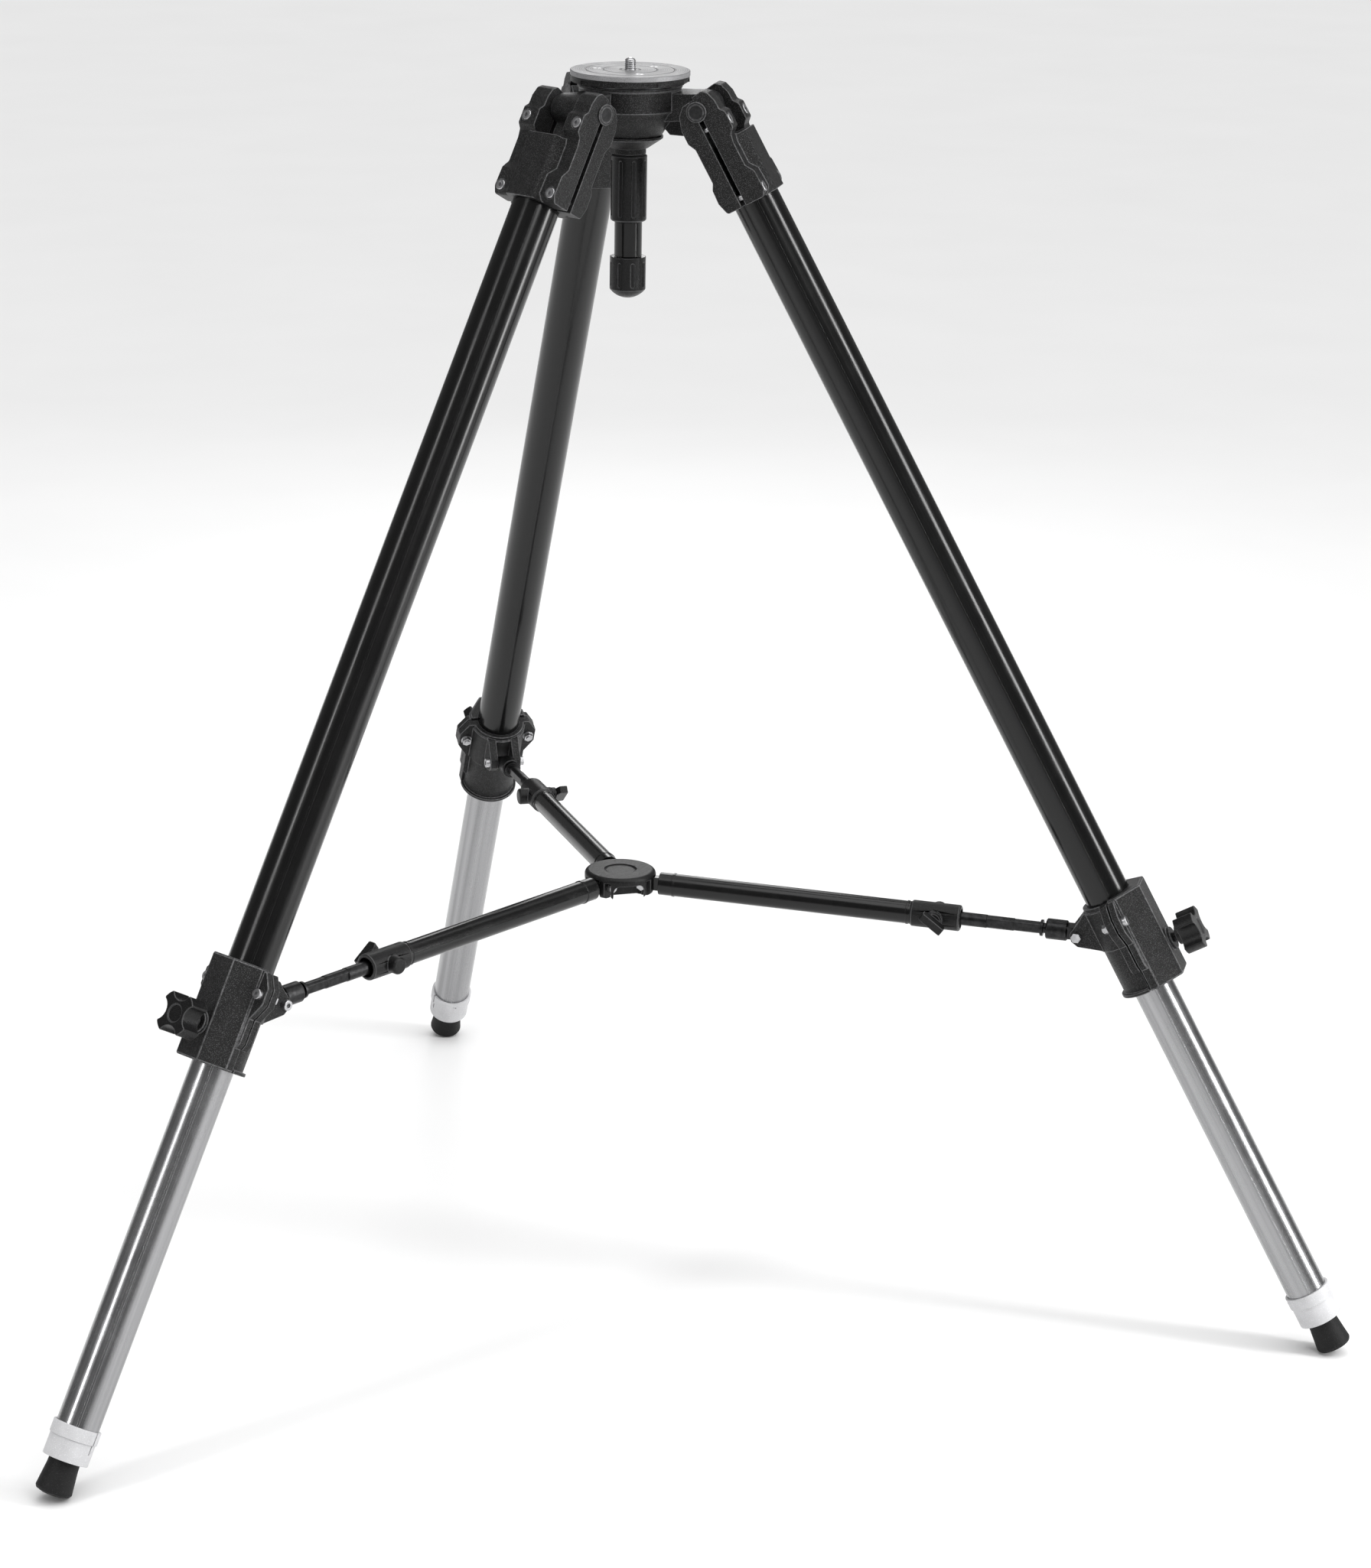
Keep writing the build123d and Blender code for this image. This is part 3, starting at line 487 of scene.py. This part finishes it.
for base, width, edge in (
    ("shoulder_casting", 0.0006, "casting_edge_wear_and_highlight"),
    ("clamp_cup", 0.0005, "casting_edge_wear_and_highlight"),
    ("hub", 0.0005, "plastic_edge_highlight"),
    ("hub_screws", 0.00015, None),
    ("plate_screws", 0.0001, None),
    ("lock_grip", 0.0005, "plastic_edge_highlight"),
    ("stud_knob", 0.0005, "plastic_edge_highlight"),
    ("handle_tube", 0.0004, None),
):
    refine(base, HERE, width, edge)
refine(
    "top_plate",
    HERE,
    0.0003,
    zone=(lambda centre: centre.z < PLATE_RIM_Z + 1e-5, "black_casting"),
)
for base in ("bowl_liner", "half_ball"):
    for slot in NODES[base].material_slots:
        slot.material = MATERIALS[SLOT_OF[base]]


def thread_radius(z, turn, major, tip_z):
    """Radius of the stud's thread at a height and a part of a turn."""
    phase = (z / THREAD_PITCH - turn) % 1.0
    run_in = min(1.0, max(0.0, z / THREAD_RUN_IN))
    radius = major - THREAD_DEPTH * abs(2.0 * phase - 1.0) * run_in
    if z > DOME_Z:
        dome = major * math.sqrt(1.0 - ((z - DOME_Z) / (tip_z - DOME_Z)) ** 2)
        radius = min(radius, dome)
    return radius


def make_stud():
    """The threaded stud with a rounded tip, and the plain rod below it."""
    low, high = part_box("stud_rod")
    rows = [(low.z, ROD_R), (ROOT_Z, ROD_R), (ROOT_Z + 1e-5, ROOT_R), (NECK_Z, ROOT_R)]
    z = NECK_Z + 1e-4
    while z < high.z - 1e-4:
        rows.append((z, None))
        z += THREAD_PITCH / STUD_PER_PITCH
    bm = bmesh.new()
    grid = []
    for z, plain in rows:
        ring = []
        for step in range(STUD_AROUND):
            turn = step / STUD_AROUND
            r = plain or thread_radius(z, turn, high.x, high.z)
            angle = turn * math.tau
            ring.append(bm.verts.new((r * math.cos(angle), r * math.sin(angle), z)))
        grid.append(ring)
    for lower, upper in zip(grid, grid[1:]):
        for step in range(STUD_AROUND):
            following = (step + 1) % STUD_AROUND
            bm.faces.new((lower[step], lower[following], upper[following], upper[step]))
    bm.faces.new(list(reversed(grid[0])))
    tip = bm.verts.new((0.0, 0.0, high.z))
    for step in range(STUD_AROUND):
        bm.faces.new((grid[-1][step], grid[-1][(step + 1) % STUD_AROUND], tip))
    mark_sharp(bm, THREAD_CRISP)
    mesh = bpy.data.meshes.new("stud_mesh")
    bm.to_mesh(mesh)
    bm.free()
    mesh.materials.append(MATERIALS["steel"])
    here = Matrix.Identity(4)
    obj = add_piece("fine_stud_rod", mesh, here, BODY_OF["stud_rod"])
    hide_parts("stud_rod")


make_stud()

# ---------------------------------------------------------------- stage, light, camera


def make_floor():
    """Plain pale floor under the feet."""
    bm = bmesh.new()
    bmesh.ops.create_circle(bm, cap_ends=True, segments=96, radius=FLOOR_R)
    mesh = bpy.data.meshes.new("floor_mesh")
    bm.to_mesh(mesh)
    bm.free()
    s = Shader("floor_pale")
    s.set(Roughness=0.9)
    s.colour(s.mix(s.noise(3.0, 2.0), (0.86, 0.86, 0.86), (0.9, 0.9, 0.9)))
    mesh.materials.append(s.material)
    floor = bpy.data.objects.new("floor", mesh)
    bpy.context.scene.collection.objects.link(floor)
    floor.location.z = cad_box[0][2] - FLOOR_GAP


def area_light(name, position, size, power):
    """Rectangular lamp that faces the object."""
    data = bpy.data.lights.new(name, "AREA")
    data.shape = "RECTANGLE"
    data.size, data.size_y = size
    data.energy = power
    light = bpy.data.objects.new(name, data)
    bpy.context.scene.collection.objects.link(light)
    light.location = position
    direction = Vector(LIGHT_TARGET) - Vector(position)
    light.rotation_euler = direction.to_track_quat("-Z", "Y").to_euler()


def make_light():
    """Soft light from above, with long strips that draw lines on the tubes."""
    world = bpy.data.worlds.new("soft_room")
    world.use_nodes = True
    background = world.node_tree.nodes["Background"]
    background.inputs["Color"].default_value = (1.0, 1.0, 1.0, 1.0)
    background.inputs["Strength"].default_value = ROOM_GLOW
    bpy.context.scene.world = world
    data = bpy.data.lights.new("overhead", "SUN")
    data.energy = SUN_STRENGTH
    data.angle = SUN_SPREAD
    overhead = bpy.data.objects.new("overhead", data)
    bpy.context.scene.collection.objects.link(overhead)
    overhead.rotation_euler = SUN_TILT
    for name, position, size, power in STRIP_LIGHTS:
        area_light(name, position, size, power)


def make_camera():
    """Camera about 3.7 m away and a little above the head, looking down 17 degrees."""
    swing = Matrix.Rotation(CAMERA_SWING, 4, "Z")
    flat = math.cos(CAMERA_PITCH)
    forward = Vector(
        (math.sin(CAMERA_YAW) * flat, math.cos(CAMERA_YAW) * flat, -math.sin(CAMERA_PITCH))
    )
    level = Vector((math.cos(CAMERA_YAW), -math.sin(CAMERA_YAW), 0.0))
    upright = level.cross(forward)
    right = level * math.cos(CAMERA_ROLL) + upright * math.sin(CAMERA_ROLL)
    up = upright * math.cos(CAMERA_ROLL) - level * math.sin(CAMERA_ROLL)
    stand = Vector((0.0, -CAMERA_DISTANCE, CAMERA_HEIGHT + GROUND_Z))
    local = placement(stand, right, up, -forward)
    data = bpy.data.cameras.new("camera")
    data.sensor_width = SENSOR_MM
    data.lens = LENS_MM
    data.clip_start, data.clip_end = CLIP
    camera = bpy.data.objects.new("camera", data)
    bpy.context.scene.collection.objects.link(camera)
    camera.matrix_world = swing @ local
    bpy.context.scene.camera = camera


make_floor()
make_light()
make_camera()
bpy.context.scene.view_settings.view_transform = "Standard"
